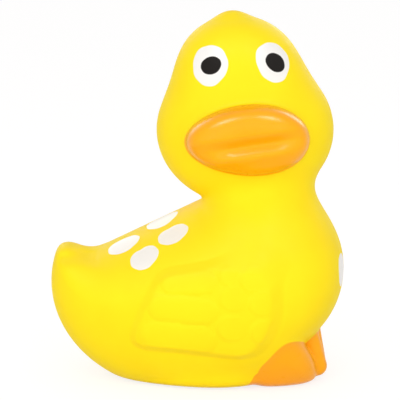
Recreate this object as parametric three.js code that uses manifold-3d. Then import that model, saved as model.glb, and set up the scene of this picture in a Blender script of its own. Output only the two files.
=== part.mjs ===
// Squeaky duck toy: a moulded duck with its head turned to one side, and the squeaker in its base.
// Millimetres, +Z up. The breast points along +X, the face looks along -Y, the base rests on z = 0.
// The duck is sculpted as rounded lobes that melt into each other; the surface where the blend is zero is meshed.

import * as THREE from 'three';
import { mergeVertices } from 'three/addons/utils/BufferGeometryUtils.js';
import Module from 'manifold-3d';

const wasm = await Module();
wasm.setup();

// Hull: a boat with rounded sides, narrower towards the tail, cut flat underneath
const hullLength = 69.2;
const hullWidth = 52;
const hullHeight = 57.3;
const hullTaper = 0.26;
const hullSquareness = 2.6;
const baseCut = 3.6;

// Back: the slope from the neck down to the tail, and the tail's upward curve
const backRise = 18.85;
const backSlope = 0.475;
const backCrownRadius = 26;
const backEdgeRound = 5;
const tailCurveStart = 14.8;
const tailCurve = 0.051;

// Breast, and the low plinth that the duck stands on
const breastLength = 25.3;
const breastWidth = 42;
const breastHeight = 32.5;
const breastSetback = 7.2;
const breastLift = 4.05;
const breastBlend = 8;
const plinthLength = 38;
const plinthWidth = 36;
const plinthHeight = 10;
const plinthForward = 7.9;
const plinthLift = 3.4;
const plinthBlend = 4;

// Neck: tight crease behind, soft throat in front
const neckLength = 20.2;
const neckWidth = 28;
const neckHeight = 37.3;
const neckSetback = 7.9;
const neckRise = 14.7;
const creaseBlend = 2;
const creaseFade = 17.6;
const creaseTurn = 0.5;
const throatBlend = 10;
const chinBlend = 6;

// Head: full cheeks, a smaller skull that leans back, and a knob on the crown
const cheekWidth = 44.8;
const cheekDepth = 40;
const cheekHeight = 38.6;
const cheekSetback = 4.63;
const cheekRise = 20.1;
const skullWidth = 28.6;
const skullDepth = 30;
const skullHeight = 23.5;
const skullLean = 2.07;
const skullRise = 17.1;
const skullBlend = 9;
const knobWidth = 6.8;
const knobHeight = 6.8;
const knobLean = 1.3;
const knobRise = 8.85;
const knobBlend = 3.7;

// Bill: a broad egg on a straight root, with a mouth groove that fades before the corners and a rolled lower lip
const billWidth = 26.6;
const billHeight = 15.8;
const billTaper = 0.11;
const billSquareness = 2.1;
const billRoll = 1.4;
const billSide = 0.17;
const billDrop = 0.23;
const billSeat = 2.7;
const billRoot = 5;
const billBlend = 3.5;
const upperBillReach = 12.4;
const lowerBillReach = 10.4;
const jawStep = 4.5;
const mouthLift = 0.4;
const mouthRoll = 8.5;
const mouthLength = 16.2;
const mouthFade = 5.4;
const mouthDepth = 1.4;
const mouthSoftAbove = 1.9;
const mouthSoftBelow = 1.3;
const lipRaise = 0.8;
const lipDrop = 3.2;
const lipWidth = 1.5;

// Feet: a forward-leaning dome on the outside, and two narrow toes beside it
const footLength = 18.4;
const footWidth = 16.8;
const footHeight = 29;
const footSetback = 14.4;
const footSpread = 11.9;
const footLift = 9.2;
const footLean = 30.8;
const footFlare = 0.53;
const footSideSquareness = 4;
const footCrownSquareness = 2.25;
const footBlend = 1;
const toeWidth = 5.2;
const toeTopForward = 10.1;
const toeTopHeight = 14.7;
const toeTipForward = 13.1;
const toeTipHeight = 4;
const outerToeSpread = 6.9;
const innerToeSpread = 2.3;
const innerToeForward = 1.1;
const toeBlend = 0.8;

// Wings: a raised pad on each flank, with long feathers behind and scale feathers in front
const wingRaise = 1;
const wingEdge = 2.2;
const wingFrontEdge = 4;
const wingFrontStart = 8;
const wingFrontEnd = 14;
const wingShoulderEdge = 5;
const wingShoulderStart = 0;
const wingShoulderEnd = 10;
const wingShoulderLow = 6;
const wingShoulderHigh = 11;
const wingForward = 5;
const wingDrop = 2.05;
const wingFlankStart = 8;
const wingFlankEnd = 14;
const wingOutline = [
  [-11.8, 7], [-15.2, 0.8], [-18, -7.6], [-15.6, -10.4], [-7.7, -10.9], [2.2, -11.7], [8.3, -12.3],
  [12.7, -10.4], [16.4, -3.8], [17.2, 4], [16, 11.4], [11.8, 12.8], [3.3, 11.7], [-4, 10.1], [-8.9, 9],
];
const longFeathers = [
  { root: [-0.5, 7.3], tip: [-8.4, 6.8], width: 6 },
  { root: [-0.5, 0.1], tip: [-11, 0.6], width: 7 },
  { root: [-1.5, -7.5], tip: [-12.4, -6.8], width: 8.2 },
];
const featherRaise = 0.42;
const featherInset = 1.2;
const scaleFeathers = [
  { centre: [6.2, -4], radius: 4.2 },
  { centre: [6.4, 3.6], radius: 4 },
  { centre: [5.2, 8.8], radius: 2.8 },
  { centre: [14, -5.2], radius: 4 },
  { centre: [13.6, 2.2], radius: 3.9 },
  { centre: [11.4, 8.2], radius: 4 },
];
const scaleRaise = 0.38;
const scaleEdge = 1.4;

// Squeaker: a flanged plastic housing pressed into the base, with a reed disc on its inner step
const flangeDiameter = 20;
const flangeThickness = 1.6;
const flangeRecess = 0.8;
const barrelDiameter = 14;
const barrelHeight = 10;
const chamberDiameter = 10;
const chamberFloor = 3;
const portDiameter = 3.6;
const reedThickness = 0.8;
const reedSlotWidth = 1;
const reedSlotLength = 5;
const fitClearance = 0.3;

// Mesh sizes
const bodyCell = 3.2;
const detailCell = 1.66;
const fineCell = 0.96;
const floorGap = 0.35;
const roundSegments = 40;

// Places that follow from the sizes
const hullZ = hullHeight / 2 - baseCut;
const breastX = hullLength / 2 - breastSetback;
const breastZ = hullZ + breastLift;
const neckX = breastX - neckSetback;
const neckZ = breastZ + neckRise;
const cheekX = neckX - cheekSetback;
const cheekZ = neckZ + cheekRise;
const skullX = cheekX - skullLean;
const skullZ = cheekZ + skullRise;
const knobX = skullX - knobLean;
const knobZ = skullZ + knobRise;
const billX = cheekX + billSide;
const billY = billSeat - cheekDepth / 2;
const billZ = cheekZ - billDrop;
const footX = hullLength / 2 - footSetback;
const wingZ = hullZ - wingDrop;

// Field helpers: every field is about the distance to a surface, negative inside
const ramp = (from, to, value) => THREE.MathUtils.smoothstep((value - from) / (to - from), 0, 1);

// An egg of full sizes; a plan above 2 squares its outline in the first two directions, a crown across them
function egg([u, v, w], [length, width, height], plan = 2, crown = 2) {
  const a = Math.abs(u) / (length / 2);
  const b = Math.abs(v) / (width / 2);
  const c = Math.abs(w) / (height / 2);
  const rim = (a ** plan + b ** plan) ** (1 / plan);
  const near = Math.max((rim ** crown + c ** crown) ** (1 / crown), 1e-6);
  const steep = Math.hypot(a / (length / 2), b / (width / 2), c / (height / 2));
  return near * (near - 1) / Math.max(steep, 1e-6);
}

function join(a, b, blend) {
  const overlap = Math.max(blend - Math.abs(a - b), 0) / blend;
  return Math.min(a, b) - overlap * overlap * blend / 4;
}

const meet = (a, b, blend) => -join(-a, -b, blend);

function turned(u, v, degrees) {
  const angle = THREE.MathUtils.degToRad(degrees);
  return [u * Math.cos(angle) + v * Math.sin(angle), v * Math.cos(angle) - u * Math.sin(angle)];
}

function segmentDistance(x, z, [ax, az], [bx, bz]) {
  const dx = bx - ax;
  const dz = bz - az;
  const along = THREE.MathUtils.clamp(((x - ax) * dx + (z - az) * dz) / (dx * dx + dz * dz), 0, 1);
  return Math.hypot(x - ax - along * dx, z - az - along * dz);
}

function outlineDistance(x, z, points) {
  let distance = Infinity;
  let inside = false;
  points.forEach((end, i) => {
    const start = points[(i + points.length - 1) % points.length];
    distance = Math.min(distance, segmentDistance(x, z, start, end));
    const crosses = start[1] > z !== end[1] > z;
    if (crosses && x < start[0] + (end[0] - start[0]) * (z - start[1]) / (end[1] - start[1])) inside = !inside;
  });
  return inside ? -distance : distance;
}

function capsule(x, y, z, start, end, radius) {
  const axis = new THREE.Line3(start, end);
  const point = new THREE.Vector3(x, y, z);
  return axis.closestPointToPoint(point, true, new THREE.Vector3()).distanceTo(point) - radius;
}

// Wing relief: how far the flank stands out at a point of the side view
const wingCurve = new THREE.CatmullRomCurve3(
  wingOutline.map(([x, z]) => new THREE.Vector3(x, z, 0)), true, 'catmullrom');
const wingPoints = wingCurve.getPoints(4 * wingOutline.length).slice(1).map((p) => [p.x, p.y]);
const wingReach = Math.max(...wingPoints.map(([x, z]) => Math.hypot(x, z)));

function wingRelief(x, z) {
  const u = x - wingForward;
  const w = z - wingZ;
  if (Math.hypot(u, w) > wingReach + wingFrontEdge + wingShoulderEdge) return 0;
  const distance = outlineDistance(u, w, wingPoints);
  const shoulder = ramp(wingShoulderStart, wingShoulderEnd, u) * ramp(wingShoulderLow, wingShoulderHigh, w);
  const edge = wingEdge + (wingFrontEdge - wingEdge) * ramp(wingFrontStart, wingFrontEnd, u)
    + wingShoulderEdge * shoulder;
  let feathers = 0;
  for (const { root, tip, width } of longFeathers) {
    const off = segmentDistance(u, w, root, tip) / (width / 2);
    feathers = Math.max(feathers, featherRaise * (1 - off ** 4));
  }
  for (const { centre, radius } of scaleFeathers) {
    const rim = Math.hypot(u - centre[0], w - centre[1]) - radius;
    const rise = (1 - (u - centre[0]) / radius) / 2;
    feathers = Math.max(feathers, scaleRaise * rise * ramp(0, -scaleEdge, rim));
  }
  return wingRaise * ramp(edge / 2, -edge / 2, distance) + feathers * ramp(0, -featherInset, distance);
}

function trunk(x, y, z) {
  const taper = 1 + hullTaper * THREE.MathUtils.clamp(x / (hullLength / 2), -1.1, 1.1);
  const hull = egg([x, y, z - hullZ], [hullLength, hullWidth * taper, hullHeight], hullSquareness);
  const tail = tailCurve * Math.min(x + hullLength / 2 - tailCurveStart, 0) ** 2;
  const back = hullZ + backRise + backSlope * x + tail - y * y / (2 * backCrownRadius);
  const breast = egg([x - breastX, y, z - breastZ], [breastLength, breastWidth, breastHeight]);
  const plinth = egg([x - plinthForward, y, z - plinthLift], [plinthLength, plinthWidth, plinthHeight]);
  const cutHull = meet(hull, (z - back) * Math.cos(Math.atan(backSlope)), backEdgeRound);
  const body = join(join(cutHull, breast, breastBlend), plinth, plinthBlend);
  return body - wingRelief(x, z) * ramp(wingFlankStart, wingFlankEnd, Math.abs(y));
}

function headAndNeck(x, y, z) {
  const cheeks = egg([x - cheekX, y, z - cheekZ], [cheekWidth, cheekDepth, cheekHeight]);
  const skull = egg([x - skullX, y, z - skullZ], [skullWidth, skullDepth, skullHeight]);
  const knob = egg([x - knobX, y, z - knobZ], [knobWidth, knobWidth, knobHeight]);
  const head = join(join(cheeks, skull, skullBlend), knob, knobBlend);
  const neck = egg([x - neckX, y, z - neckZ], [neckLength, neckWidth, neckHeight]);
  return join(neck, head, chinBlend);
}

const aboveMouth = (x, z) => turned(x - billX, z - billZ, mouthRoll)[1] - mouthLift;

function bill(x, y, z) {
  const [across, up] = turned(x - billX, z - billZ, billRoll);
  const out = y - billY - THREE.MathUtils.clamp(y - billY, 0, billRoot);
  const upperJaw = ramp(0, jawStep, aboveMouth(x, z));
  const reach = lowerBillReach + (upperBillReach - lowerBillReach) * upperJaw;
  const height = billHeight * (1 + billTaper * THREE.MathUtils.clamp(across / (billWidth / 2), -1.2, 1.2));
  return egg([across, up, out], [billWidth, height, 2 * reach], 2, billSquareness);
}

// Mouth relief: how far the bill's front goes in at the mouth, and out again at the lower lip
function mouthRelief(x, z) {
  const above = aboveMouth(x, z);
  const off = above / (above > 0 ? mouthSoftAbove : mouthSoftBelow);
  const lipOff = (above + lipDrop) / lipWidth;
  const middle = ramp((mouthLength + mouthFade) / 2, (mouthLength - mouthFade) / 2, Math.abs(x - billX));
  return middle * (mouthDepth * Math.exp(-off * off) - lipRaise * Math.exp(-lipOff * lipOff));
}

function toes(x, y, z) {
  const [outer, inner] = [[outerToeSpread, 0], [innerToeSpread, innerToeForward]].map(([spread, forward]) => {
    const top = new THREE.Vector3(footX + toeTopForward + forward, spread, toeTopHeight);
    const tip = new THREE.Vector3(footX + toeTipForward, spread, toeTipHeight);
    return capsule(x, Math.abs(y), z, top, tip, toeWidth / 2);
  });
  return join(outer, inner, toeBlend);
}

function feet(x, y, z) {
  const [along, up] = turned(x - footX, z - footLift, footLean);
  const across = Math.abs(y) - footSpread - footFlare * (z - footLift);
  const dome = egg([along, up, across], [footLength, footHeight, footWidth], footSideSquareness, footCrownSquareness);
  return join(dome, toes(x, y, z), toeBlend);
}

// How much of the neck's tight crease is left at a place: all of it behind, none at the throat
const creaseShare = (x, y) => ramp(neckX, neckX - creaseFade, x - creaseTurn * y);

function duckField(x, y, z, mouth = 0) {
  const body = join(trunk(x, y, z), feet(x, y, z), footBlend);
  const headBlend = throatBlend + (creaseBlend - throatBlend) * creaseShare(x, y);
  return join(join(body, headAndNeck(x, y, z), headBlend), bill(x, y, z) + mouth, billBlend);
}

// Meshing: a net of one vertex per surface cell, pulled on to the field's zero surface
function slope(field, p) {
  const step = 0.02;
  return new THREE.Vector3(
    field(p.x + step, p.y, p.z) - field(p.x - step, p.y, p.z),
    field(p.x, p.y + step, p.z) - field(p.x, p.y - step, p.z),
    field(p.x, p.y, p.z + step) - field(p.x, p.y, p.z - step),
  ).divideScalar(2 * step);
}

function settle(field, p) {
  for (let pass = 0; pass < 4; pass += 1) {
    const gradient = slope(field, p);
    p.addScaledVector(gradient, -field(p.x, p.y, p.z) / Math.max(gradient.lengthSq(), 0.05));
  }
  return p;
}

function surfaceNet(field, box, cell, shift) {
  const count = box.getSize(new THREE.Vector3()).divideScalar(cell).ceil().addScalar(2).toArray();
  const at = (i, j, k) => new THREE.Vector3(i, j, k).subScalar(shift).multiplyScalar(cell).add(box.min);
  const index = (i, j, k) => (i * count[1] + j) * count[2] + k;
  const values = new Float64Array(count[0] * count[1] * count[2]);
  const eachNode = (visit) => {
    for (let i = 0; i < count[0]; i += 1) {
      for (let j = 0; j < count[1]; j += 1) {
        for (let k = 0; k < count[2]; k += 1) visit(i, j, k);
      }
    }
  };
  eachNode((i, j, k) => {
    const p = at(i, j, k);
    values[index(i, j, k)] = field(p.x, p.y, p.z);
  });
  const corners = [0, 1, 2, 3, 4, 5, 6, 7].map((c) => [c & 1, (c >> 1) & 1, (c >> 2) & 1]);
  const points = [];
  const pointOfCell = new Map();
  const cellPoint = (i, j, k) => {
    const key = index(i, j, k);
    if (!pointOfCell.has(key)) {
      const mean = new THREE.Vector3();
      let weight = 0;
      corners.forEach(([a, b, c], n) => [1, 2, 4].filter((bit) => !(n & bit)).forEach((bit) => {
        const [d, e, f] = corners[n | bit];
        const start = values[index(i + a, j + b, k + c)];
        const end = values[index(i + d, j + e, k + f)];
        if (start < 0 === end < 0) return;
        mean.add(at(i + a, j + b, k + c).lerp(at(i + d, j + e, k + f), start / (start - end)));
        weight += 1;
      }));
      pointOfCell.set(key, points.push(settle(field, mean.divideScalar(weight))) - 1);
    }
    return pointOfCell.get(key);
  };
  const faces = [];
  const axes = [[[1, 0, 0], [0, 1, 0], [0, 0, 1]], [[0, 1, 0], [0, 0, 1], [1, 0, 0]], [[0, 0, 1], [1, 0, 0], [0, 1, 0]]];
  eachNode((i, j, k) => axes.forEach(([along, u, v]) => {
    const next = [i + along[0], j + along[1], k + along[2]];
    if (next.some((n, axis) => n >= count[axis])) return;
    const start = values[index(i, j, k)];
    const end = values[index(...next)];
    if (start < 0 === end < 0) return;
    const ring = [[0, 0], [1, 0], [1, 1], [0, 1]].map(([a, b]) => cellPoint(
      i - a * u[0] - b * v[0], j - a * u[1] - b * v[1], k - a * u[2] - b * v[2]));
    if (start > 0) ring.reverse();
    faces.push([ring[0], ring[1], ring[2]], [ring[0], ring[2], ring[3]]);
  }));
  return { points, faces };
}

// Moves the grid in small steps until each edge of the net joins just two faces, so that the net is a closed skin
function closedNet(field, box, cell) {
  const steps = 12;
  for (let step = 0; step < steps; step += 1) {
    const net = surfaceNet(field, box, cell, step / steps);
    const uses = new Map();
    net.faces.forEach((face) => face.forEach((from, i) => {
      const ends = [from, face[(i + 1) % 3]].sort((a, b) => a - b).join(' ');
      uses.set(ends, (uses.get(ends) ?? 0) + 1);
    }));
    if ([...uses.values()].every((count) => count === 2)) return net;
  }
  throw new Error('no grid gives a closed net');
}

// Splits every edge that is longer than wanted at its middle, so the net gets finer where detail needs it
function refine(field, { points, faces }, wanted) {
  const middles = new Map();
  const middle = (a, b) => {
    const key = a < b ? `${a} ${b}` : `${b} ${a}`;
    if (!middles.has(key)) {
      const mid = points[a].clone().lerp(points[b], 0.5);
      const long = points[a].distanceTo(points[b]) > 1.4 * wanted(mid);
      middles.set(key, long ? points.push(settle(field, mid)) - 1 : -1);
    }
    return middles.get(key);
  };
  const split = faces.flatMap(([a, b, c]) => {
    let [p, q, r] = [a, b, c];
    let [m, n, o] = [middle(a, b), middle(b, c), middle(c, a)];
    const cuts = [m, n, o].filter((x) => x >= 0).length;
    if (cuts === 0) return [[p, q, r]];
    if (cuts === 3) return [[p, m, o], [m, q, n], [o, n, r], [m, n, o]];
    while (m < 0 || (cuts === 2 && n < 0)) [p, q, r, m, n, o] = [q, r, p, n, o, m];
    return cuts === 1 ? [[p, m, r], [m, q, r]] : [[m, q, n], [p, m, n], [p, n, r]];
  });
  return { points, faces: split };
}

function relax(field, { points, faces }) {
  const sums = points.map(() => new THREE.Vector3());
  const counts = points.map(() => 0);
  faces.forEach((face) => face.forEach((from, i) => {
    const to = face[(i + 1) % 3];
    sums[from].add(points[to]);
    counts[from] += 1;
  }));
  const moved = points.map((p, i) => settle(field, p.clone().lerp(sums[i].divideScalar(counts[i]), 0.5)));
  return { points: moved, faces };
}

// Solids: closed meshes that can be joined and cut
function solidOfNet({ points, faces }) {
  return new wasm.Manifold(new wasm.Mesh({
    numProp: 3,
    vertProperties: new Float32Array(points.flatMap((p) => p.toArray())),
    triVerts: new Uint32Array(faces.flat()),
  }));
}

function solidOfGeometry(geometry) {
  const bare = geometry.index ? geometry.toNonIndexed() : geometry.clone();
  bare.deleteAttribute('normal');
  bare.deleteAttribute('uv');
  const merged = mergeVertices(bare, 1e-4);
  return new wasm.Manifold(new wasm.Mesh({
    numProp: 3,
    vertProperties: new Float32Array(merged.attributes.position.array),
    triVerts: new Uint32Array(merged.index.array),
  }));
}

function geometryOfSolid(solid) {
  const mesh = solid.getMesh();
  const geometry = new THREE.BufferGeometry();
  geometry.setAttribute('position', new THREE.BufferAttribute(new Float32Array(mesh.vertProperties), 3));
  geometry.setIndex(new THREE.BufferAttribute(new Uint32Array(mesh.triVerts), 1));
  geometry.computeVertexNormals();
  return geometry;
}

function revolve(profile) {
  const points = profile.map(([radius, height]) => new THREE.Vector2(radius, height));
  return new THREE.LatheGeometry(points, roundSegments).rotateX(Math.PI / 2);
}

// Duck body: sculpted net, finer on the wings, feet and bill and along the neck's crease. Its points keep
// clear of the floor's plane, so that the flat cut leaves no slivers.
function sculptedSolid() {
  const box = new THREE.Box3();
  const cover = (place, size) => box.union(new THREE.Box3().setFromCenterAndSize(
    new THREE.Vector3(...place), new THREE.Vector3(...size)));
  cover([0, 0, hullZ], [hullLength, hullWidth * (1 + hullTaper), hullHeight]);
  cover([breastX, 0, breastZ], [breastLength, breastWidth, breastHeight]);
  cover([cheekX, 0, cheekZ], [cheekWidth, cheekDepth, cheekHeight]);
  cover([skullX, 0, skullZ], [skullWidth, skullDepth, skullHeight]);
  cover([knobX, 0, knobZ], [knobWidth, knobWidth, knobHeight]);
  cover([billX, billY, billZ], [billWidth, 2 * upperBillReach, billHeight]);
  cover([footX, 0, footLift], [footLength, 2 * footSpread + footWidth, footHeight]);
  cover([footX + toeTipForward, 0, toeTipHeight], [toeWidth, 2 * outerToeSpread + toeWidth, toeWidth]);
  box.expandByScalar(2 * bodyCell);
  const wanted = (p) => {
    const onWing = Math.abs(p.y) > wingFlankStart
      && outlineDistance(p.x - wingForward, p.z - wingZ, wingPoints) < wingEdge;
    const onFoot = feet(p.x, p.y, p.z) < detailCell;
    const onBill = bill(p.x, p.y, p.z) < billBlend / 2;
    const atMouth = onBill && Math.abs(mouthRelief(p.x, p.z)) > mouthDepth / 4;
    const atCrease = creaseShare(p.x, p.y) > 0.5
      && Math.abs(trunk(p.x, p.y, p.z) - headAndNeck(p.x, p.y, p.z)) < creaseBlend;
    if (atMouth || atCrease || toes(p.x, p.y, p.z) < detailCell / 2) return fineCell;
    return onWing || onFoot || onBill ? detailCell : bodyCell;
  };
  let net = closedNet(duckField, box, bodyCell);
  for (const mouthShare of [0, 0.5, 1]) {
    const field = (x, y, z) => duckField(x, y, z, mouthShare * mouthRelief(x, z));
    net = relax(field, refine(field, net, wanted));
  }
  net.points.filter((p) => Math.abs(p.z) < floorGap).forEach((p) => p.setZ(p.z < 0 ? -floorGap : floorGap));
  return solidOfNet(net);
}

function socketSolid() {
  const flange = flangeDiameter / 2 + fitClearance;
  const barrel = barrelDiameter / 2 + fitClearance;
  const step = flangeRecess + flangeThickness + fitClearance;
  const top = flangeRecess + barrelHeight + fitClearance;
  return solidOfGeometry(revolve([[0, -1], [flange, -1], [flange, step], [barrel, step], [barrel, top], [0, top]]));
}

function floorSolid() {
  const block = new THREE.BoxGeometry(3 * hullLength, 3 * hullWidth, hullHeight);
  return solidOfGeometry(block.translate(0, 0, -hullHeight / 2));
}

const bodyGeometry = geometryOfSolid(sculptedSolid().subtract(floorSolid()).subtract(socketSolid()));

// Squeaker housing: flange, barrel, chamber with a step, and the air port in the floor
const flangeTop = flangeRecess + flangeThickness;
const housingTop = flangeRecess + barrelHeight;
const chamberBase = flangeRecess + chamberFloor;
const housingGeometry = revolve([
  [portDiameter / 2, flangeRecess], [flangeDiameter / 2, flangeRecess], [flangeDiameter / 2, flangeTop],
  [barrelDiameter / 2, flangeTop], [barrelDiameter / 2, housingTop], [chamberDiameter / 2, housingTop],
  [chamberDiameter / 2, chamberBase], [portDiameter / 2, chamberBase], [portDiameter / 2, flangeRecess],
]);

// Reed: a thin disc with a slot for the tongue, lying on the chamber's step
const reedShape = new THREE.Shape().absarc(0, 0, chamberDiameter / 2 - fitClearance, 0, 2 * Math.PI);
const slotShape = new THREE.Path();
slotShape.moveTo(-reedSlotLength / 2, -reedSlotWidth / 2);
slotShape.lineTo(reedSlotLength / 2, -reedSlotWidth / 2);
slotShape.lineTo(reedSlotLength / 2, reedSlotWidth / 2);
slotShape.lineTo(-reedSlotLength / 2, reedSlotWidth / 2);
slotShape.closePath();
reedShape.holes.push(slotShape);
const reedGeometry = new THREE.ExtrudeGeometry(
  reedShape, { depth: reedThickness, bevelEnabled: false, curveSegments: roundSegments / 2 });

const latex = new THREE.MeshStandardMaterial({ color: 0xfdea28, roughness: 0.55, metalness: 0 });
const whitePlastic = new THREE.MeshStandardMaterial({ color: 0xe9e7e0, roughness: 0.4, metalness: 0 });
const brass = new THREE.MeshStandardMaterial({ color: 0xc9a860, roughness: 0.35, metalness: 0.9 });

function piece(name, geometry, material) {
  const mesh = new THREE.Mesh(geometry, material);
  mesh.name = name;
  return mesh;
}

const duckBody = piece('duck_body', bodyGeometry, latex);
const housing = piece('squeaker_housing', housingGeometry, whitePlastic);
const reed = piece('squeaker_reed', reedGeometry, brass);
reed.position.z = chamberBase + fitClearance;

// The origin is the middle of the duck's outline on the ground
const duck = new THREE.Group();
duck.add(duckBody, housing, reed);
bodyGeometry.computeBoundingBox();
const middle = bodyGeometry.boundingBox.getCenter(new THREE.Vector3());
duck.position.set(-middle.x, -middle.y, 0);

const group = new THREE.Group();
group.add(duck);

export default group;
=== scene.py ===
"""The finished look of a squeaky duck dog toy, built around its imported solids.

The duck is one moulded and painted latex skin. It is sculpted here as one smooth field in its own frame,
in millimetres, with the breast towards +X, the face towards -Y and the floor at z = 0, then meshed finely
and set on the place of its solid. The squeaker in the base keeps its solids and gets new materials.
"""
import math

import bpy
import numpy as np
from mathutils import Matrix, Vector


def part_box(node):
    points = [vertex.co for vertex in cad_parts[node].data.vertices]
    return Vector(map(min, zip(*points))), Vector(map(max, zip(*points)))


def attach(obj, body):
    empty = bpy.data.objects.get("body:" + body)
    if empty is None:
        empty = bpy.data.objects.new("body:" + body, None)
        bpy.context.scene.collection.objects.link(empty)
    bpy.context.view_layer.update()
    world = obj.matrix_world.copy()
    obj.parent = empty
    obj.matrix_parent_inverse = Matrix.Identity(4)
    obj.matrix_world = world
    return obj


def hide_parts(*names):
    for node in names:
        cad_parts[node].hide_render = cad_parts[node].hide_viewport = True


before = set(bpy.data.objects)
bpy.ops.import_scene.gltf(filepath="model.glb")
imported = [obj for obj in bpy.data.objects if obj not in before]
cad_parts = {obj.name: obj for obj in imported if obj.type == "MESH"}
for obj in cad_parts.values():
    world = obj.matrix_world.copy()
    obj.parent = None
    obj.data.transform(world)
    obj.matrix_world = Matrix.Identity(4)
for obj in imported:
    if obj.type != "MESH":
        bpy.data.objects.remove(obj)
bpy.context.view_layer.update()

# A millimetre in metres, and the squareness of a plain ellipse
METRES = 0.001
ROUND = 2.0

# Hull: a boat with rounded sides, cut flat below and by the sloping back above
HULL_LENGTH = 69.2
HULL_WIDTH = 52.0
HULL_HEIGHT = 57.3
HULL_TAPER = 0.26
HULL_TAPER_LIMIT = 1.1
HULL_SQUARENESS = 2.6
BASE_CUT = 3.6
BASE_EDGE = 2.0
BACK_RISE = 18.85
BACK_SLOPE = 0.475
BACK_CROWN_RADIUS = 26.0
BACK_EDGE_ROUND = 5.0
TAIL_CURVE_START = 14.8
TAIL_CURVE = 0.051
TAIL_CREASE = ((-31.0, 32.2), (-27.5, 32.4), (-23.0, 32.0))
TAIL_CREASE_DEPTH = 0.45
TAIL_CREASE_WIDTH = 1.1
TAIL_CREASE_ZONE = {"behind": -18.0, "height": 32.0, "reach": 6.0}
TAIL_CREASE_FADE = (1.0, 4.0)

# Breast, and the low plinth that the duck stands on
BREAST_LENGTH = 25.3
BREAST_WIDTH = 42.0
BREAST_HEIGHT = 32.5
BREAST_SETBACK = 7.2
BREAST_LIFT = 4.05
BREAST_BLEND = 8.0
PLINTH_LENGTH = 38.0
PLINTH_WIDTH = 36.0
PLINTH_HEIGHT = 10.0
PLINTH_FORWARD = 7.9
PLINTH_LIFT = 3.4
PLINTH_BLEND = 4.0

# Neck, with a sharp crease behind and a soft throat in front
NECK_LENGTH = 20.2
NECK_WIDTH = 28.0
NECK_HEIGHT = 37.3
NECK_SETBACK = 7.9
NECK_RISE = 14.7
CREASE_BLEND = 2.0
THROAT_BLEND = 10.0
THROAT_SPREAD = 0.87
CHIN_BLEND = 6.0

# Head, turned to look sideways: wide cheeks, a smaller skull and a knob of down on top
CHEEK_WIDTH = 44.8
CHEEK_DEPTH = 40.0
CHEEK_HEIGHT = 38.6
CHEEK_SETBACK = 4.63
CHEEK_RISE = 20.1
SKULL_WIDTH = 28.6
SKULL_DEPTH = 30.0
SKULL_HEIGHT = 23.5
SKULL_LEAN = 2.07
SKULL_RISE = 17.1
SKULL_BLEND = 9.0
KNOB_SIZE = 6.8
KNOB_LEAN = 1.3
KNOB_RISE = 8.85
KNOB_BLEND = 3.7

# Bill: one broad, blunt egg on a straight root, with a mouth line that fades before the corners
BILL_WIDTH = 29.8
BILL_HEIGHT = 17.2
BILL_TAPER = 0.11
BILL_TAPER_LIMIT = 1.2
BILL_SQUARENESS = 3.6
BILL_ROLL = 1.4
BILL_SIDE = 0.17
BILL_DROP = 0.65
BILL_FORWARD = 17.3
BILL_ROOT = 5.0
BILL_TILT = 0.08
BILL_BLEND = 1.2
UPPER_BILL_REACH = 11.8
LOWER_BILL_REACH = 10.2
JAW_STEP = 3.2
MOUTH_LIFT = -1.3
MOUTH_ROLL = 8.5
MOUTH_SIDE = 1.7
MOUTH_LENGTH = 16.2
MOUTH_FADE = 8.0
MOUTH_DEPTH = 1.1
MOUTH_SLOPE_ABOVE = 2.0
MOUTH_SLOPE_BELOW = 4.0
MOUTH_ROUND = 0.5
LIP_RAISE = 1.25
LIP_DROP = 2.2
LIP_WIDTH = 1.7

# Feet: a forward-leaning dome on the outside, and two narrow toes beside it
FOOT_LENGTH = 18.4
FOOT_WIDTH = 16.8
FOOT_HEIGHT = 29.0
FOOT_PLACE = (20.2, 11.9, 9.2)
FOOT_LEAN = 30.8
FOOT_FLARE = 0.53
FOOT_SIDE_SQUARENESS = 4.0
FOOT_CROWN_SQUARENESS = 2.25
FOOT_BLEND = 1.0
TOE_WIDTH = 5.2
TOE_TOP = (30.3, 14.7)
TOE_TIP = (33.3, 4.0)
TOES = ((6.9, 0.0), (2.3, 1.1))
TOE_BLEND = 0.8

# Wings: a soft raised pad with three long feathers behind and small scale feathers in front
WING_CENTRE = (5.0, 23.0)
WING_OUTLINE = (
    (-11.8, 7.0), (-15.2, 0.8), (-18.0, -7.6), (-15.6, -10.4), (-7.7, -10.9),
    (2.2, -11.7), (8.3, -12.3), (12.7, -10.4), (16.4, -3.8), (17.2, 4.0),
    (16.0, 11.4), (11.8, 12.8), (3.3, 11.7), (-4.0, 10.1), (-8.9, 9.0),
)
WING_CURVE_STEPS = 4
WING_ZONE = (24.0, 18.0)
WING_RAISE = 1.0
WING_EDGE = 2.2
WING_FRONT_EDGE = 4.0
WING_FRONT_X = (8.0, 14.0)
WING_SHOULDER_EDGE = 5.0
WING_SHOULDER_X = (0.0, 10.0)
WING_SHOULDER_Z = (6.0, 11.0)
WING_FLANK = (8.0, 14.0)
LONG_FEATHERS = (
    ((-8.4, 6.8), (-0.5, 7.3), 3.0),
    ((-11.0, 0.6), (-0.5, 0.1), 3.5),
    ((-12.4, -6.8), (-1.5, -7.5), 4.1),
)
FEATHER_RAISE = 0.42
FEATHER_INSET = 1.2
SCALE_FEATHERS = (
    (6.2, -4.0, 4.2),
    (6.4, 3.6, 4.0),
    (5.2, 8.8, 2.8),
    (14.0, -5.2, 4.0),
    (13.6, 2.2, 3.9),
    (11.4, 8.2, 4.0),
)
SCALE_RAISE = 0.38
SCALE_EDGE = 1.4

# Squeaker socket in the base
BARREL_DIAMETER = 14.0
FLANGE_THICKNESS = 1.6
FIT_CLEARANCE = 0.3

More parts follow.
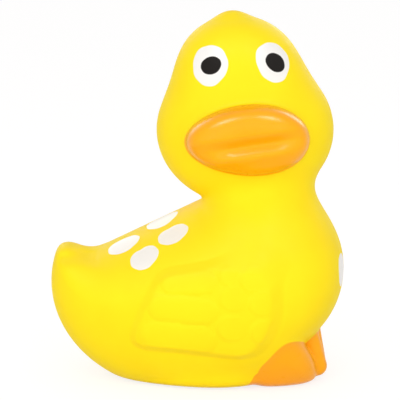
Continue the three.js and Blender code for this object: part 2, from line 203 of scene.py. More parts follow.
# Paint, placed on the skin of the duck; a wave of a painted edge has a count, a size and a start
WOBBLE_WAVES = ((3.0, 1.0, 0.7), (5.0, 0.7, 2.1), (9.0, 0.4, 0.0))
BILL_PAINT = {"half": (15.4, 8.6), "depth": -17.0, "lift": -0.1}
FOOT_PAINT_MARGIN = 0.4
FOOT_PAINT_SKIRT = 5.0
FOOT_PAINT_TUCK = 0.30
FACE_TILT = 10.0
EYES = (
    {"centre": (5.95, 81.5), "half": (4.25, 5.1), "turn": 3.0, "wobble": 0.02},
    {"centre": (21.25, 82.35), "half": (4.05, 5.1), "turn": -18.0, "wobble": 0.02},
)
PUPILS = (
    {"centre": (6.15, 81.45), "half": (2.55, 2.2), "turn": -22.0, "wobble": 0.01},
    {"centre": (21.85, 82.25), "half": (2.15, 2.65), "turn": -45.0, "wobble": 0.01},
)
EYE_DEPTH = -14.0
MIDDLE_SPOTS = (
    {"place": (-6.3, -1.9, 41.0), "half": (4.4, 5.0), "dent": 0.0},
    {"place": (-15.9, -6.8, 35.6), "half": (4.4, 4.1), "dent": 0.0},
)
PAIRED_SPOTS = (
    {"place": (-3.4, 12.6, 39.5), "half": (4.1, 3.8), "dent": 0.16},
    {"place": (-10.4, 15.9, 34.25), "half": (3.8, 4.1), "dent": 0.16},
    {"place": (38.3, 8.0, 29.3), "half": (4.2, 4.2), "dent": 0.0},
)
SPOT_WOBBLE = 0.02
SPOT_THICKNESS = 5.0
DENT_ANGLE = 115.0
DENT_SPREAD = 28.0
END_ON = 0.8
UNPAINTED = -10.0

# Mesh: a grid worked out finely only in the blocks of cells near the skin
FINE_CELL = 0.525
BLOCK = 4
NEAR_BLOCKS = 2.0
GRID_MARGIN = 4.0
SLOPE_STEP = 0.05
LEAST_STEEP = 0.04
SETTLE_ROUNDS = 2
RELAX_ROUNDS = 4
RELAX_PULL = 0.5
TINY = 1e-6

# Materials: colours, roughness and gloss of the latex and its paint, then of the squeaker
YELLOW = (0.985, 0.765, 0.012)
YELLOW_DEEP = (0.985, 0.74, 0.011)
ORANGE = (0.97, 0.42, 0.004)
ORANGE_DEEP = (0.96, 0.395, 0.003)
WHITE = (0.85, 0.84, 0.825)
BLACK = (0.014, 0.012, 0.011)
PAINT_SOFT = 0.09
CLOUD = {"scale": 90.0, "detail": 3.0, "range": (0.35, 0.65)}
GRAIN = {"scale": 700.0, "detail": 4.0, "range": (0.3, 0.7)}
GRAIN_BUMP = (0.08, 0.00004)
LATEX_ROUGHNESS = (0.44, 0.56)
ORANGE_ROUGHNESS = (0.26, 0.34)
LATEX_SPECULAR = 0.06
ORANGE_GLOSS = 0.26
WHITE_GLOSS = 0.5
GLOSS_ROUGHNESS = 0.28
PLASTIC = ((0.80, 0.79, 0.74), (0.70, 0.69, 0.64))
PLASTIC_MOTTLE = {"scale": 220.0, "detail": 3.0, "range": (0.3, 0.7)}
PLASTIC_GRAIN = {"scale": 1500.0, "detail": 2.0}
PLASTIC_BUMP = (0.15, 0.00005)
PLASTIC_ROUGHNESS = (0.38, 0.52)
BRASS = ((0.62, 0.42, 0.15), (0.55, 0.36, 0.12))
BRASS_LINES = {"scale": 900.0, "distortion": 2.0}
BRASS_ROUGHNESS = (0.28, 0.4)

# Camera and studio: places in metres, those of the lamps from the point that the camera looks at
CAMERA_SENSOR = 36.0
CAMERA_LENS = 158.76
CAMERA_TILT = 10.0
CAMERA_DISTANCE = 0.45
CAMERA_TARGET = (0.00347, 0.0, 0.04568)
AMBIENT = (0.68, 0.66, 0.63)
SOFT_BOXES = (
    ("front_box", (0.02, -0.62, 0.02), 0.80, 3.4),
    ("left_box", (-0.44, -0.44, 0.10), 0.50, 0.85),
    ("right_box", (0.44, -0.44, 0.10), 0.50, 0.5),
)
SPARK_LAMPS = (
    ("left_spark", (-0.20, -0.26, 0.50), 0.18, 2.4),
    ("right_spark", (0.20, -0.26, 0.50), 0.18, 2.4),
    ("left_back_spark", (-0.22, 0.50, 0.25), 0.32, 0.65),
    ("right_back_spark", (0.24, 0.50, 0.25), 0.30, 0.9),
)
FLOOR_SIZE = 6.0
FLOOR_DEPTH = 0.00005
FLOOR_BOUNCE = (0.80, 0.80, 0.80)
FLOOR_SHADE = (0.30, 0.30, 0.31)
FLOOR_GLOW = 0.79

# Places that follow from the sizes
HULL_Z = HULL_HEIGHT / 2 - BASE_CUT
BACK_HEIGHT = HULL_Z + BACK_RISE
TAIL_X = TAIL_CURVE_START - HULL_LENGTH / 2
BREAST_PLACE = (HULL_LENGTH / 2 - BREAST_SETBACK, 0.0, HULL_Z + BREAST_LIFT)
NECK_PLACE = (BREAST_PLACE[0] - NECK_SETBACK, 0.0, BREAST_PLACE[2] + NECK_RISE)
CHEEK_PLACE = (NECK_PLACE[0] - CHEEK_SETBACK, 0.0, NECK_PLACE[2] + CHEEK_RISE)
SKULL_PLACE = (CHEEK_PLACE[0] - SKULL_LEAN, 0.0, CHEEK_PLACE[2] + SKULL_RISE)
KNOB_PLACE = (SKULL_PLACE[0] - KNOB_LEAN, 0.0, SKULL_PLACE[2] + KNOB_RISE)
BILL_PLACE = (CHEEK_PLACE[0] + BILL_SIDE, -BILL_FORWARD, CHEEK_PLACE[2] - BILL_DROP)
PLINTH_PLACE = (PLINTH_FORWARD, 0.0, PLINTH_LIFT)


def ramp(start, end, value):
    """Rises smoothly from 0 at start to 1 at end."""
    share = np.clip((value - start) / (end - start), 0.0, 1.0)
    return share * share * (3.0 - 2.0 * share)


def turned(across, up, degrees):
    """Coordinates in a plane after a turn of its axes."""
    c = math.cos(math.radians(degrees))
    s = math.sin(math.radians(degrees))
    return c * across + s * up, c * up - s * across


def egg(x, y, z, place, size):
    """Distance, near enough, to an ellipsoid of that full size."""
    half = [s / 2 for s in size]
    u = (x - place[0]) / half[0]
    v = (y - place[1]) / half[1]
    w = (z - place[2]) / half[2]
    reach = np.sqrt(u * u + v * v + w * w)
    steep = np.sqrt((u / half[0]) ** 2 + (v / half[1]) ** 2 + (w / half[2]) ** 2)
    return reach * (reach - 1.0) / np.maximum(steep, TINY)


def cushion(u, v, w, half, plan, crown):
    """Distance, near enough, to an egg made squarer in its u-v outline and across it."""
    a = np.abs(u) / half[0]
    b = np.abs(v) / half[1]
    c = np.abs(w) / half[2]
    rim = (a ** plan + b ** plan) ** (1.0 / plan)
    span = (rim ** crown + c ** crown) ** (1.0 / crown)
    steep = np.sqrt((a / half[0]) ** 2 + (b / half[1]) ** 2 + (c / half[2]) ** 2)
    return span * (span - 1.0) / np.maximum(steep, TINY)


def join(a, b, blend):
    """Union of two fields with a soft valley between them."""
    share = np.maximum(blend - np.abs(a - b), 0.0) / blend
    return np.minimum(a, b) - share * share * blend * 0.25


def meet(a, b, blend):
    """What two fields share, with a soft edge between them."""
    return -join(-a, -b, blend)


def segment_distance(x, z, start, end):
    """Distance in a plane to a straight stretch."""
    run = (end[0] - start[0], end[1] - start[1])
    along = ((x - start[0]) * run[0] + (z - start[1]) * run[1]) / (run[0] ** 2 + run[1] ** 2)
    along = np.clip(along, 0.0, 1.0)
    return np.hypot(x - start[0] - along * run[0], z - start[1] - along * run[1])


def closed_curve(points, steps):
    """A smooth closed outline through the given points."""
    outline = []
    count = len(points)
    for i in range(count):
        before, here, after, beyond = (np.array(points[(i + k) % count]) for k in (-1, 0, 1, 2))
        for t in np.arange(steps) / steps:
            outline.append(0.5 * (
                2.0 * here + (after - before) * t
                + (2.0 * before - 5.0 * here + 4.0 * after - beyond) * t ** 2
                + (3.0 * here - before - 3.0 * after + beyond) * t ** 3
            ))
    return outline


WING_CURVE = closed_curve(WING_OUTLINE, WING_CURVE_STEPS)


def outline_distance(x, z, outline):
    """Distance to a closed outline, negative inside it."""
    distance = np.full(x.shape, np.inf)
    inside = np.zeros(x.shape, bool)
    for a, b in zip(outline, outline[1:] + outline[:1]):
        distance = np.minimum(distance, segment_distance(x, z, a, b))
        if a[1] != b[1]:
            crosses = (a[1] > z) != (b[1] > z)
            inside ^= crosses & (x < (b[0] - a[0]) * (z - a[1]) / (b[1] - a[1]) + a[0])
    return np.where(inside, -distance, distance)


def capsule(x, y, z, start, end, width):
    """Distance to a round bar between two points."""
    run = [e - s for s, e in zip(start, end)]
    along = (x - start[0]) * run[0] + (y - start[1]) * run[1] + (z - start[2]) * run[2]
    along = np.clip(along / sum(r * r for r in run), 0.0, 1.0)
    gap = [c - s - along * r for c, s, r in zip((x, y, z), start, run)]
    return np.sqrt(gap[0] ** 2 + gap[1] ** 2 + gap[2] ** 2) - width / 2


def hull(x, y, z):
    """The boat: an ellipse seen from the side, with squarer sides seen from above."""
    half_length = HULL_LENGTH / 2
    forward = np.clip(x / half_length, -HULL_TAPER_LIMIT, HULL_TAPER_LIMIT)
    half_width = HULL_WIDTH / 2 * (1.0 + HULL_TAPER * forward)
    return cushion(x, y, z - HULL_Z, (half_length, half_width, HULL_HEIGHT / 2), HULL_SQUARENESS, ROUND)


def trunk(x, y, z):
    """Hull, sloping back with its raised tail, breast and plinth."""
    tail = TAIL_CURVE * np.minimum(x - TAIL_X, 0.0) ** 2
    back = BACK_HEIGHT + BACK_SLOPE * x + tail - y * y / (2.0 * BACK_CROWN_RADIUS)
    lean = math.cos(math.atan(BACK_SLOPE))
    body = meet(hull(x, y, z), (z - back) * lean, BACK_EDGE_ROUND)
    breast = egg(x, y, z, BREAST_PLACE, (BREAST_LENGTH, BREAST_WIDTH, BREAST_HEIGHT))
    body = join(body, breast, BREAST_BLEND)
    plinth = egg(x, y, z, PLINTH_PLACE, (PLINTH_LENGTH, PLINTH_WIDTH, PLINTH_HEIGHT))
    return join(body, plinth, PLINTH_BLEND)


def wing_height(x, z):
    """How far the wing's feathers stand out of the flank, at a place on the wing."""
    edge = outline_distance(x, z, WING_CURVE)
    width = WING_EDGE + (WING_FRONT_EDGE - WING_EDGE) * ramp(*WING_FRONT_X, x)
    width = width + WING_SHOULDER_EDGE * ramp(*WING_SHOULDER_X, x) * ramp(*WING_SHOULDER_Z, z)
    height = WING_RAISE * ramp(width / 2, -width / 2, edge)
    inside = ramp(0.0, -FEATHER_INSET, edge)
    feathers = np.zeros(x.shape)
    for start, end, half_width in LONG_FEATHERS:
        across = segment_distance(x, z, start, end) / half_width
        feathers = np.maximum(feathers, FEATHER_RAISE * np.maximum(1.0 - across ** 4, 0.0))
    for centre_x, centre_z, radius in SCALE_FEATHERS:
        rim = np.hypot(x - centre_x, z - centre_z) - radius
        lean = 0.5 - 0.5 * (x - centre_x) / radius
        feathers = np.maximum(feathers, SCALE_RAISE * lean * ramp(0.0, -SCALE_EDGE, rim))
    return height + inside * feathers


def relief(x, y, z):
    """Moulded relief on the trunk: the two wings and the crease under the tail's lip."""
    height = np.zeros(x.shape)
    wing_x = x - WING_CENTRE[0]
    wing_z = z - WING_CENTRE[1]
    flank = np.abs(y) > WING_FLANK[0]
    near = flank & (np.abs(wing_x) < WING_ZONE[0]) & (np.abs(wing_z) < WING_ZONE[1])
    height[near] = wing_height(wing_x[near], wing_z[near]) * ramp(*WING_FLANK, np.abs(y[near]))
    zone = TAIL_CREASE_ZONE
    tail = (x < zone["behind"]) & (np.abs(z - zone["height"]) < zone["reach"])
    line = np.full(height[tail].shape, np.inf)
    for a, b in zip(TAIL_CREASE, TAIL_CREASE[1:]):
        line = np.minimum(line, segment_distance(x[tail], z[tail], a, b))
    crease = TAIL_CREASE_DEPTH * np.exp(-(line / TAIL_CREASE_WIDTH) ** 2)
    height[tail] -= crease * ramp(*TAIL_CREASE_FADE, np.abs(y[tail]))
    return height


def head(x, y, z):
    """Cheeks, skull and knob."""
    cheeks = egg(x, y, z, CHEEK_PLACE, (CHEEK_WIDTH, CHEEK_DEPTH, CHEEK_HEIGHT))
    skull = egg(x, y, z, SKULL_PLACE, (SKULL_WIDTH, SKULL_DEPTH, SKULL_HEIGHT))
    knob = egg(x, y, z, KNOB_PLACE, (KNOB_SIZE, KNOB_SIZE, KNOB_SIZE))
    return join(join(cheeks, skull, SKULL_BLEND), knob, KNOB_BLEND)


def bill_taper(across):
    """Height of the bill, over its middle height, at a share of its half width to one side."""
    return 1.0 + BILL_TAPER * np.clip(across, -BILL_TAPER_LIMIT, BILL_TAPER_LIMIT)


def bill(x, y, z):
    """The bill: a blunt egg that tips up, with a shorter lower jaw and a mouth above a rolled lip."""
    side = x - BILL_PLACE[0]
    out = y - BILL_PLACE[1]
    rise = z - BILL_PLACE[2] - BILL_TILT * np.maximum(BILL_ROOT - out, 0.0)
    across, up = turned(side, rise, BILL_ROLL)
    mouth = turned(side, rise, MOUTH_ROLL)[1] - MOUTH_LIFT
    out = out - np.clip(out, 0.0, BILL_ROOT)
    reach = LOWER_BILL_REACH + (UPPER_BILL_REACH - LOWER_BILL_REACH) * ramp(0.0, JAW_STEP, mouth)
    half_width = BILL_WIDTH / 2
    half_height = BILL_HEIGHT / 2 * bill_taper(across / half_width)
    shape = cushion(across, up, out, (half_width, half_height, reach), ROUND, BILL_SQUARENESS)
    middle = np.abs(side - MOUTH_SIDE)
    middle = ramp((MOUTH_LENGTH + MOUTH_FADE) / 2, (MOUTH_LENGTH - MOUTH_FADE) / 2, middle)
    gap = np.hypot(mouth, MOUTH_ROUND) - MOUTH_ROUND
    groove = MOUTH_DEPTH * np.exp(-gap / np.where(mouth > 0.0, MOUTH_SLOPE_ABOVE, MOUTH_SLOPE_BELOW))
    lip = LIP_RAISE * np.exp(-((mouth + LIP_DROP) / LIP_WIDTH) ** 2)
    return shape + middle * (groove - lip)


def feet(x, y, z):
    """Both feet, mirrored about the middle of the duck."""
    side = np.abs(y)
    along, up = turned(x - FOOT_PLACE[0], z - FOOT_PLACE[2], FOOT_LEAN)
    half = (FOOT_LENGTH / 2, FOOT_HEIGHT / 2, FOOT_WIDTH / 2)
    across = side - FOOT_PLACE[1] - FOOT_FLARE * (z - FOOT_PLACE[2])
    foot = cushion(along, up, across, half, FOOT_SIDE_SQUARENESS, FOOT_CROWN_SQUARENESS)
    for spread, forward in TOES:
        top = (TOE_TOP[0] + forward, spread, TOE_TOP[1])
        tip = (TOE_TIP[0], spread, TOE_TIP[1])
        foot = join(foot, capsule(x, side, z, top, tip, TOE_WIDTH), TOE_BLEND)
    return foot


def socket(x, y, z, housing):
    """The stepped hole in the base that the squeaker is pressed into."""
    low, high = housing
    radius = np.hypot(x - (low[0] + high[0]) / 2, y - (low[1] + high[1]) / 2)
    flange = np.maximum(
        radius - (high[0] - low[0]) / 2 - FIT_CLEARANCE,
        z - low[2] - FLANGE_THICKNESS - FIT_CLEARANCE,
    )
    barrel = np.maximum(radius - BARREL_DIAMETER / 2 - FIT_CLEARANCE, z - high[2] - FIT_CLEARANCE)
    return np.minimum(flange, barrel)


def duck(x, y, z, housing):
    """The whole duck: negative inside the latex, zero on its skin."""
    body = trunk(x, y, z) - relief(x, y, z)
    body = join(body, feet(x, y, z), FOOT_BLEND)
    neck = egg(x, y, z, NECK_PLACE, (NECK_LENGTH, NECK_WIDTH, NECK_HEIGHT))
    upper = join(neck, head(x, y, z), CHIN_BLEND)
    front = ramp(NECK_PLACE[0] - THROAT_SPREAD * NECK_LENGTH, NECK_PLACE[0], x - y / 2)
    body = join(body, upper, CREASE_BLEND + (THROAT_BLEND - CREASE_BLEND) * front)
    body = join(body, bill(x, y, z), BILL_BLEND)
    body = meet(body, -z, BASE_EDGE)
    return np.maximum(body, -socket(x, y, z, housing))


def grid_values(field, low, cell, blocks):
    """Field values on a grid, worked out finely only in the blocks near the skin."""
    coarse = cell * BLOCK
    axes = [low[i] + coarse * np.arange(blocks[i] + 1) for i in range(3)]
    nodes = np.meshgrid(*axes, indexing="ij")
    rough = field(*(n.ravel() for n in nodes)).reshape(nodes[0].shape)
    near = np.abs(rough) < NEAR_BLOCKS * coarse
    busy = np.zeros(blocks, bool)
    for i in (0, 1):
        for j in (0, 1):
            for k in (0, 1):
                busy |= near[i:i + blocks[0], j:j + blocks[1], k:k + blocks[2]]
    values = rough[:-1, :-1, :-1]
    for axis in range(3):
        values = np.repeat(values, BLOCK, axis)
        busy = np.repeat(busy, BLOCK, axis)
    values = values.copy()
    points = low + cell * np.argwhere(busy)
    values[busy] = field(points[:, 0], points[:, 1], points[:, 2])
    return values


def surface_net(values, low, cell):
    """A vertex in each grid cell that the skin passes through, and a quad across each edge it cuts."""
    inside = values < 0.0
    size = np.array(values.shape) - 1
    corners = [(i, j, k) for i in (0, 1) for j in (0, 1) for k in (0, 1)]
    count = np.zeros(size, int)
    for i, j, k in corners:
        count += inside[i:i + size[0], j:j + size[1], k:k + size[2]]
    cells = np.argwhere((count > 0) & (count < 8))
    number = np.full(size, -1)
    number[tuple(cells.T)] = np.arange(len(cells))
    total = np.zeros((len(cells), 3))
    cuts = np.zeros(len(cells))
    for corner in corners:
        for axis in range(3):
            if corner[axis]:
                continue
            start = np.array(corner)
            end = start + np.eye(3, dtype=int)[axis]
            a = values[tuple((cells + start).T)]
            b = values[tuple((cells + end).T)]
            cut = (a < 0.0) != (b < 0.0)
            share = np.where(cut, a / np.where(cut, a - b, 1.0), 0.0)
            total += cut[:, None] * (start + share[:, None] * (end - start))
            cuts += cut
    points = low + cell * (cells + total / cuts[:, None])
    quads = []
    for axis in range(3):
        second, third = (axis + 1) % 3, (axis + 2) % 3
        start = np.moveaxis(inside, axis, 0)
        edge = np.moveaxis(start[:-1] != start[1:], 0, axis)
        places = np.argwhere(edge)
        places = places[(places[:, second] > 0) & (places[:, third] > 0)]
        places = places[(places[:, second] < size[second]) & (places[:, third] < size[third])]
        ring = []
        for back_second, back_third in ((1, 1), (0, 1), (0, 0), (1, 0)):
            place = places.copy()
            place[:, second] -= back_second
            place[:, third] -= back_third
            ring.append(number[tuple(place.T)])
        ring = np.stack(ring, 1)
        outward = inside[tuple(places.T)]
        quads.append(np.where(outward[:, None], ring, ring[:, ::-1]))
    return points, np.concatenate(quads)


def slope(field, points):
    """Gradient of the field at points, from four nearby samples."""
    result = np.zeros(points.shape)
    for corner in ((1, 1, 1), (1, -1, -1), (-1, 1, -1), (-1, -1, 1)):
        moved = points + SLOPE_STEP * np.array(corner)
        result += np.outer(field(moved[:, 0], moved[:, 1], moved[:, 2]), corner)
    return result / (4.0 * SLOPE_STEP)


def settle(field, points, cell, rounds):
    """Moves points along the field's slope onto the skin, by at most half a cell a round."""
    for _ in range(rounds):
        gradient = slope(field, points)
        steep = np.maximum((gradient ** 2).sum(1), LEAST_STEEP)
        step = field(points[:, 0], points[:, 1], points[:, 2]) / steep
        limit = cell / 2 / np.sqrt(steep)
        points = points - np.clip(step, -limit, limit)[:, None] * gradient
    return points


def relax(field, points, quads, cell):
    """Evens out the net along the skin."""
    starts = quads.ravel()
    ends = np.roll(quads, -1, 1).ravel()
    valence = np.bincount(starts, minlength=len(points)) + np.bincount(ends, minlength=len(points))
    for _ in range(RELAX_ROUNDS):
        centre = np.zeros(points.shape)
        for axis in range(3):
            centre[:, axis] = np.bincount(starts, points[ends, axis], len(points))
            centre[:, axis] += np.bincount(ends, points[starts, axis], len(points))
        pull = centre / valence[:, None] - points
        normal = slope(field, points)
        normal /= np.maximum(np.linalg.norm(normal, axis=1), TINY)[:, None]
        points = points + RELAX_PULL * (pull - (pull * normal).sum(1)[:, None] * normal)
        points = settle(field, points, cell, 1)
    return points


def sculpt(field):
    """Points, quads and normals of the duck's skin in its own frame."""
    cell = FINE_CELL
    behind = HULL_LENGTH / 2 + GRID_MARGIN
    ahead = HULL_LENGTH / 2 + 2 * GRID_MARGIN
    beside = HULL_WIDTH / 2 + 2 * GRID_MARGIN
    low = np.array((-behind, -beside, -GRID_MARGIN))
    high = np.array((ahead, beside, KNOB_PLACE[2] + 2 * GRID_MARGIN))
    blocks = np.ceil((high - low) / (cell * BLOCK)).astype(int)
    values = grid_values(field, low, cell, blocks)
    points, quads = surface_net(values, low, cell)
    points = settle(field, points, cell, SETTLE_ROUNDS)
    points = relax(field, points, quads, cell)
    points = settle(field, points, cell, SETTLE_ROUNDS)
    normals = slope(field, points)
    return points, quads, normals / np.linalg.norm(normals, axis=1)[:, None]


def wobble(angle, amount):
    """The uneven edge of a hand-painted shape."""
    waves = [size * np.sin(count * angle + start) for count, size, start in WOBBLE_WAVES]
    return 1.0 + amount * sum(waves)


def face_height(points, depth, height):
    """Height of points on a picture plane that leans back, above a place on the face."""
    tilt = math.radians(FACE_TILT)
    return (points[:, 2] - height) * math.cos(tilt) + (points[:, 1] - depth) * math.sin(tilt)


def disc_paint(points, disc):
    """Depth inside an eye or pupil painted from the front, in millimetres."""
    across = points[:, 0] - disc["centre"][0]
    across, up = turned(across, face_height(points, EYE_DEPTH, disc["centre"][1]), -disc["turn"])
    u = across / disc["half"][0]
    v = up / disc["half"][1]
    depth = (wobble(np.arctan2(v, u), disc["wobble"]) - np.hypot(u, v)) * min(disc["half"])
    return np.where(points[:, 1] < 0.0, depth, UNPAINTED)


def lips_paint(points):
    """Depth inside the orange of the bill, painted from the front past its root, in millimetres."""
    rise = face_height(points, BILL_PAINT["depth"], BILL_PLACE[2]) + BILL_PAINT["lift"]
    across, up = turned(points[:, 0] - BILL_PLACE[0], rise, BILL_ROLL)
    half_width, half_height = BILL_PAINT["half"]
    u = across / half_width
    v = up / (half_height * bill_taper(u))
    depth = (1.0 - np.hypot(u, v)) * half_height
    return np.where(points[:, 1] < 0.0, depth, UNPAINTED)


def spot_paint(points, normals, spot, side=1.0):
    """Depth inside a spot dabbed on the skin, mirrored where side is -1, in millimetres."""
    gap = points - np.array(spot["place"]) * (1.0, side, 1.0)
    normal = normals[np.argmin((gap ** 2).sum(1))]
    along = np.array((1.0, 0.0, 0.0)) - normal[0] * normal
    if abs(normal[0]) > END_ON:
        along = np.array((0.0, 1.0, 0.0)) - normal[1] * normal
    along /= np.linalg.norm(along)
    across = np.cross(normal, along)
    if across[2] < 0.0:
        across = -across
    u = gap @ along / spot["half"][0]
    v = gap @ across / spot["half"][1]
    angle = np.arctan2(v, u)
    turn = np.degrees(angle) - DENT_ANGLE
    edge = wobble(angle, SPOT_WOBBLE) - spot["dent"] * np.exp(-(turn / DENT_SPREAD) ** 2)
    depth = (edge - np.hypot(u, v)) * min(spot["half"])
    return np.where(np.abs(gap @ normal) < SPOT_THICKNESS, depth, UNPAINTED)


def paint_depths(points, normals):
    """For each coat of paint, how deep inside its edge each point lies, in millimetres."""
    x, y, z = points.T
    bill_paint = lips_paint(points)
    skirt = np.where(x < FOOT_PLACE[0], np.maximum(FOOT_PAINT_SKIRT - z, 0.0), 0.0)
    foot_paint = FOOT_PAINT_MARGIN - feet(x - FOOT_PAINT_TUCK * skirt, y, z + skirt)
    spots = [spot_paint(points, normals, spot) for spot in MIDDLE_SPOTS]
    spots += [spot_paint(points, normals, spot, side) for spot in PAIRED_SPOTS for side in (1.0, -1.0)]
    eyes = [disc_paint(points, eye) for eye in EYES]
    pupils = [disc_paint(points, pupil) for pupil in PUPILS]
    return {
        "orange_paint": np.maximum(bill_paint, foot_paint),
        "white_paint": np.max(spots + eyes, axis=0),
        "black_paint": np.max(pupils, axis=0),
    }


def new_material(name):
    """An empty node material with its Principled shader."""
    material = bpy.data.materials.new(name)
    material.use_nodes = True
    tree = material.node_tree
    shader = next(n for n in tree.nodes if n.type == "BSDF_PRINCIPLED")
    return material, tree, shader


def noise_node(tree, look):
    """Noise in the object's own space."""
    coordinates = tree.nodes.new("ShaderNodeTexCoord")
    noise = tree.nodes.new("ShaderNodeTexNoise")
    noise.inputs["Scale"].default_value = look["scale"]
    noise.inputs["Detail"].default_value = look["detail"]
    tree.links.new(coordinates.outputs["Object"], noise.inputs["Vector"])
    return noise.outputs["Fac"]


def range_node(tree, source, old, new, smooth=False):
    """Maps a number from one range to another."""
    node = tree.nodes.new("ShaderNodeMapRange")
    if smooth:
        node.interpolation_type = "SMOOTHSTEP"
    for name, value in zip(("From Min", "From Max", "To Min", "To Max"), old + new):
        node.inputs[name].default_value = value
    tree.links.new(source, node.inputs["Value"])
    return node.outputs["Result"]


def colour_mix(tree, factor, first, second):
    """Mixes two colours, each either a fixed colour or another node's output."""
    node = tree.nodes.new("ShaderNodeMix")
    node.data_type = "RGBA"
    sockets = {"Factor": node.inputs[0], "A": node.inputs[6], "B": node.inputs[7]}
    tree.links.new(factor, sockets["Factor"])
    for name, value in (("A", first), ("B", second)):
        if isinstance(value, tuple):
            sockets[name].default_value = value + (1.0,)
        else:
            tree.links.new(value, sockets[name])
    return node.outputs[2]


def number_mix(tree, factor, first, second):
    """Mixes two numbers, each either fixed or another node's output."""
    node = tree.nodes.new("ShaderNodeMix")
    tree.links.new(factor, node.inputs[0])
    for place, value in ((2, first), (3, second)):
        if isinstance(value, float):
            node.inputs[place].default_value = value
        else:
            tree.links.new(value, node.inputs[place])
    return node.outputs[0]


def bump(tree, shader, height, strength, distance):
    """Fine unevenness of a surface, of that strength and height in metres."""
    node = tree.nodes.new("ShaderNodeBump")
    node.inputs["Strength"].default_value = strength
    node.inputs["Distance"].default_value = distance
    tree.links.new(height, node.inputs["Height"])
    tree.links.new(node.outputs["Normal"], shader.inputs["Normal"])


def paint_mask(tree, name, soft):
    """1 inside a coat of paint and 0 outside it."""
    attribute = tree.nodes.new("ShaderNodeAttribute")
    attribute.attribute_name = name
    return range_node(tree, attribute.outputs["Fac"], (-soft, soft), (0.0, 1.0), smooth=True)


def latex_material():
    """Yellow latex with its coats of paint."""
    material, tree, shader = new_material("painted_latex")
    cloud = range_node(tree, noise_node(tree, CLOUD), CLOUD["range"], (0.0, 1.0))
    yellow = colour_mix(tree, cloud, YELLOW, YELLOW_DEEP)
    orange = colour_mix(tree, cloud, ORANGE, ORANGE_DEEP)
    on_orange = paint_mask(tree, "orange_paint", PAINT_SOFT)
    on_white = paint_mask(tree, "white_paint", PAINT_SOFT)
    on_black = paint_mask(tree, "black_paint", PAINT_SOFT)
    colour = colour_mix(tree, on_orange, yellow, orange)
    colour = colour_mix(tree, on_white, colour, WHITE)
    colour = colour_mix(tree, on_black, colour, BLACK)
    tree.links.new(colour, shader.inputs["Base Color"])
    grain = noise_node(tree, GRAIN)
    dull = range_node(tree, grain, GRAIN["range"], LATEX_ROUGHNESS)
    smooth = range_node(tree, grain, GRAIN["range"], ORANGE_ROUGHNESS)
    tree.links.new(number_mix(tree, on_orange, dull, smooth), shader.inputs["Roughness"])
    shader.inputs["Specular IOR Level"].default_value = LATEX_SPECULAR
    gloss = number_mix(tree, on_orange, 0.0, ORANGE_GLOSS)
    gloss = number_mix(tree, on_white, gloss, WHITE_GLOSS)
    gloss = number_mix(tree, on_black, gloss, 0.0)
    tree.links.new(gloss, shader.inputs["Coat Weight"])
    shader.inputs["Coat Roughness"].default_value = GLOSS_ROUGHNESS
    bump(tree, shader, grain, *GRAIN_BUMP)
    return material


def plastic_material():
    """Moulded off-white plastic of the squeaker's housing."""
    material, tree, shader = new_material("squeaker_plastic")
    mottle = noise_node(tree, PLASTIC_MOTTLE)
    tree.links.new(colour_mix(tree, mottle, *PLASTIC), shader.inputs["Base Color"])
    roughness = range_node(tree, mottle, PLASTIC_MOTTLE["range"], PLASTIC_ROUGHNESS)
    tree.links.new(roughness, shader.inputs["Roughness"])
    bump(tree, shader, noise_node(tree, PLASTIC_GRAIN), *PLASTIC_BUMP)
    return material


def brass_material():
    """Thin rolled sheet of the reed, with fine rolling lines."""
    material, tree, shader = new_material("reed_brass")
    shader.inputs["Metallic"].default_value = 1.0
    lines = tree.nodes.new("ShaderNodeTexWave")
    lines.inputs["Scale"].default_value = BRASS_LINES["scale"]
    lines.inputs["Distortion"].default_value = BRASS_LINES["distortion"]
    coordinates = tree.nodes.new("ShaderNodeTexCoord")
    tree.links.new(coordinates.outputs["Object"], lines.inputs["Vector"])
    tree.links.new(colour_mix(tree, lines.outputs["Fac"], *BRASS), shader.inputs["Base Color"])
    roughness = range_node(tree, lines.outputs["Fac"], (0.0, 1.0), BRASS_ROUGHNESS)
    tree.links.new(roughness, shader.inputs["Roughness"])
    return material


def mesh_object(name, points, quads, attributes, normals=None):
    """A Blender mesh of quads with numbers kept at its points."""
    mesh = bpy.data.meshes.new(name)
    mesh.from_pydata(points.tolist(), [], quads.tolist())
    mesh.update()
    mesh.shade_smooth()
    if normals is not None:
        mesh.normals_split_custom_set_from_vertices(normals.tolist())
    for key, values in attributes.items():
        layer = mesh.attributes.new(key, "FLOAT", "POINT")
        layer.data.foreach_set("value", values.astype(np.float32))
    piece = bpy.data.objects.new(name, mesh)
    bpy.context.scene.collection.objects.link(piece)
    return piece


def aim(item, place, target):
    """Puts a camera or lamp at a place, looking at a target."""
    item.location = place
    item.rotation_euler = (Vector(target) - Vector(place)).to_track_quat("-Z", "Y").to_euler()


def add_camera(target):
    """Camera at the photograph's viewing angle."""
    camera = bpy.data.objects.new("camera", bpy.data.cameras.new("camera"))
    bpy.context.scene.collection.objects.link(camera)
    camera.data.sensor_width = CAMERA_SENSOR
    camera.data.lens = CAMERA_LENS
    tilt = math.radians(CAMERA_TILT)
    away = Vector((0.0, -math.cos(tilt), math.sin(tilt))) * CAMERA_DISTANCE
    aim(camera, Vector(target) + away, target)
    bpy.context.scene.camera = camera


def add_lamp(name, place, target, size, power):
    """A square soft box."""
    data = bpy.data.lights.new(name, "AREA")
    data.size = size
    data.energy = power
    lamp = bpy.data.objects.new(name, data)
    bpy.context.scene.collection.objects.link(lamp)
    aim(lamp, place, target)
    return lamp


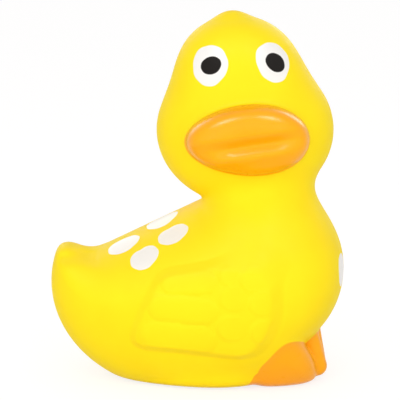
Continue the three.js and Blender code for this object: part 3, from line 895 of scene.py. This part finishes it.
def seen_directly(tree):
    """1 for rays that show the background: straight from the camera, mirrored or through glass."""
    path = tree.nodes.new("ShaderNodeLightPath")
    result = path.outputs["Is Camera Ray"]
    for name in ("Is Glossy Ray", "Is Transmission Ray"):
        node = tree.nodes.new("ShaderNodeMath")
        node.operation = "MAXIMUM"
        tree.links.new(result, node.inputs[0])
        tree.links.new(path.outputs[name], node.inputs[1])
        result = node.outputs[0]
    return result


def add_world():
    """White surroundings to look at, and an even, slightly warm light from all sides."""
    world = bpy.data.worlds.new("studio")
    bpy.context.scene.world = world
    world.use_nodes = True
    tree = world.node_tree
    background = next(n for n in tree.nodes if n.type == "BACKGROUND")
    colour = colour_mix(tree, seen_directly(tree), AMBIENT, (1.0, 1.0, 1.0))
    tree.links.new(colour, background.inputs["Color"])
    background.inputs["Strength"].default_value = 1.0


def add_floor():
    """A pale floor that stays white away from the duck's soft shadow."""
    corners = np.array(((-1, -1), (1, -1), (1, 1), (-1, 1))) * FLOOR_SIZE / 2
    points = np.column_stack((corners, np.full(4, -FLOOR_DEPTH)))
    floor = mesh_object("floor", points, np.array(((0, 1, 2, 3),)), {})
    material, tree, shader = new_material("floor_white")
    tree.nodes.remove(shader)
    output = next(n for n in tree.nodes if n.type == "OUTPUT_MATERIAL")
    bounce = tree.nodes.new("ShaderNodeBsdfDiffuse")
    bounce.inputs["Color"].default_value = FLOOR_BOUNCE + (1.0,)
    shade = tree.nodes.new("ShaderNodeBsdfDiffuse")
    shade.inputs["Color"].default_value = FLOOR_SHADE + (1.0,)
    glow = tree.nodes.new("ShaderNodeEmission")
    glow.inputs["Strength"].default_value = FLOOR_GLOW
    shown = tree.nodes.new("ShaderNodeAddShader")
    tree.links.new(shade.outputs[0], shown.inputs[0])
    tree.links.new(glow.outputs[0], shown.inputs[1])
    choose = tree.nodes.new("ShaderNodeMixShader")
    tree.links.new(seen_directly(tree), choose.inputs[0])
    tree.links.new(bounce.outputs[0], choose.inputs[1])
    tree.links.new(shown.outputs[0], choose.inputs[2])
    tree.links.new(choose.outputs[0], output.inputs["Surface"])
    floor.data.materials.append(material)


# The duck, set on the place of its solid
housing_low, housing_high = (np.array(corner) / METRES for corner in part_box("squeaker_housing"))
move = (housing_low + housing_high) / 2 * (1.0, 1.0, 0.0)
housing = (housing_low - move, housing_high - move)
duck_points, duck_quads, duck_normals = sculpt(lambda x, y, z: duck(x, y, z, housing))
paint = paint_depths(duck_points, duck_normals)
duck_piece = mesh_object("duck_skin", (duck_points + move) * METRES, duck_quads, paint, duck_normals)
duck_piece.data.materials.append(latex_material())
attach(duck_piece, "root")
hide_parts("duck_body")

# The squeaker keeps its solids
for node, material in (("squeaker_housing", plastic_material()), ("squeaker_reed", brass_material())):
    for place in range(len(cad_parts[node].material_slots)):
        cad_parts[node].material_slots[place].material = material

# Camera, surroundings and lamps: soft boxes light the paint, sparks are only mirrored in its gloss
look_at = Vector(CAMERA_TARGET) + Vector(move * METRES)
add_camera(look_at)
add_world()
add_floor()
for name, place, size, power in SOFT_BOXES:
    add_lamp(name, look_at + Vector(place), look_at, size, power).visible_glossy = False
for name, place, size, power in SPARK_LAMPS:
    add_lamp(name, look_at + Vector(place), look_at, size, power).visible_diffuse = False
bpy.context.scene.view_settings.view_transform = "Standard"
